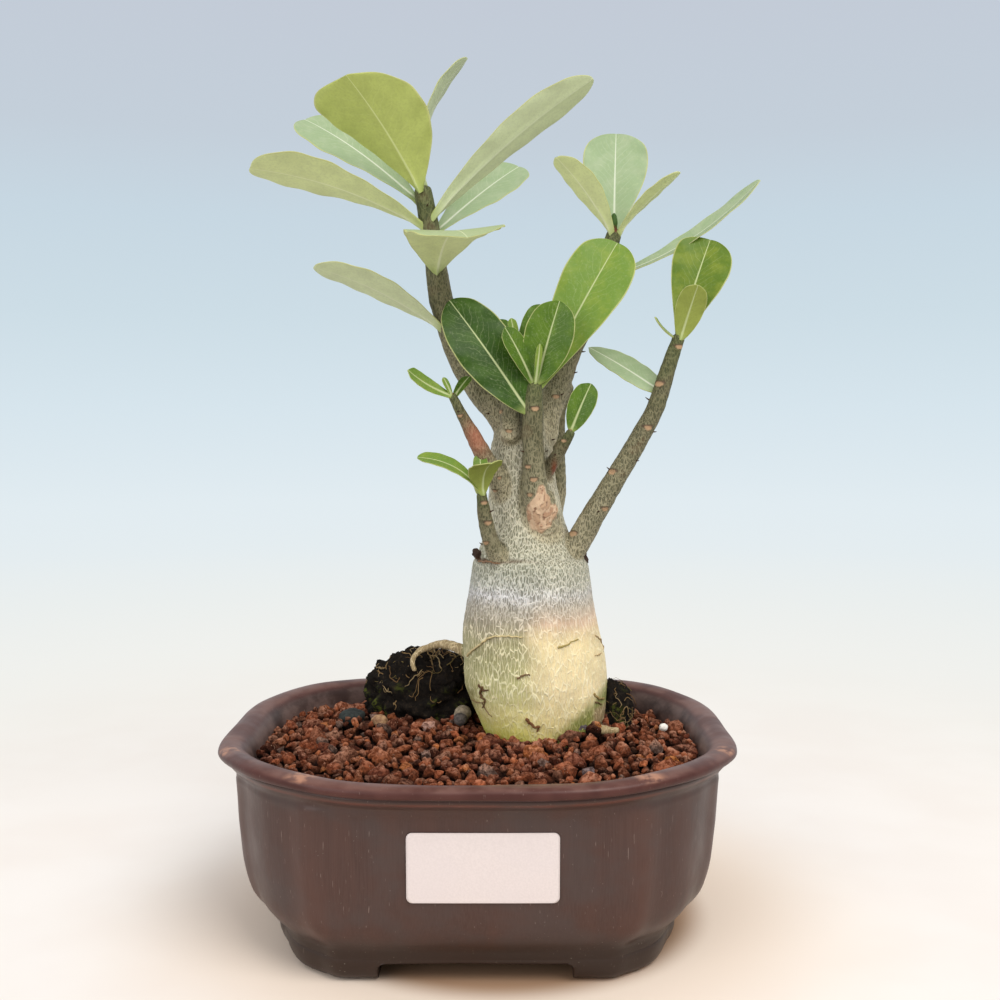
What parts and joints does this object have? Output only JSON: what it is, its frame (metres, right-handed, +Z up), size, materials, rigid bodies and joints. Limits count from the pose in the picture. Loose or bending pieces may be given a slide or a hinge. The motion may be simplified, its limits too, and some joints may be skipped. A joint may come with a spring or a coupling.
{
  "type": "potted desert rose",
  "caption": "Young desert rose grown as a bonsai: swollen grey stem with short shoots and leathery spoon-shaped leaves, in crumbled red clay in a low brown glazed pot on four feet.",
  "frame": {"origin": "middle of the whole object's box, on the surface that the pot's feet stand on", "axes": "+Z up, -Y out of the pot's front wall, which carries the label, +X to the right seen from the front"},
  "size_m": [0.1572, 0.1286, 0.2537],
  "materials": {
    "bark": "matte grey-green skin with a fine net of pale wrinkles, cream towards the soil",
    "leaf": "satin leathery blade with a pale midrib",
    "red_clay_crumb": "matte crumbled fired clay",
    "brown_glaze": "satin streaked brown glaze, redder along the rim",
    "label_paper": "smooth blank sticker",
    "black_peat": "matte black peat with pale root threads",
    "tan_stone": "matte",
    "dark_stone": "matte",
    "white_bead": "matte foamed perlite",
    "drain_net": "matte"
  },
  "bodies": {
    "root": {"bead_white": "white_bead", "drain_mesh_left": "drain_net", "drain_mesh_right": "drain_net", "glazed_pot": "brown_glaze", "leaf_front_1": "leaf", "leaf_front_2": "leaf", "leaf_front_3": "leaf", "leaf_front_4": "leaf", "leaf_front_5": "leaf", "leaf_inner_1": "leaf", "leaf_inner_2": "leaf", "leaf_inner_3": "leaf", "leaf_left_1": "leaf", "leaf_left_2": "leaf", "leaf_left_3": "leaf", "leaf_left_4": "leaf", "leaf_left_5": "leaf", "leaf_left_6": "leaf", "leaf_left_7": "leaf", "leaf_left_8": "leaf", "leaf_low_1": "leaf", "leaf_low_2": "leaf", "leaf_low_3": "leaf", "leaf_middle_1": "leaf", "leaf_middle_2": "leaf", "leaf_middle_3": "leaf", "leaf_middle_4": "leaf", "leaf_right_1": "leaf", "leaf_right_2": "leaf", "leaf_right_3": "leaf", "leaf_right_4": "leaf", "leaf_side_1": "leaf", "leaf_side_2": "leaf", "leaf_side_3": "leaf", "leaf_twig_1": "leaf", "peat_clump_left": "black_peat", "peat_clump_right": "black_peat", "pebble_dark": "dark_stone", "pebble_mossy": "dark_stone", "pebble_round": "tan_stone", "pebble_tan": "tan_stone", "plant_label": "label_paper", "soil": "red_clay_crumb", "trunk": "bark"}
  },
  "joints": []
}
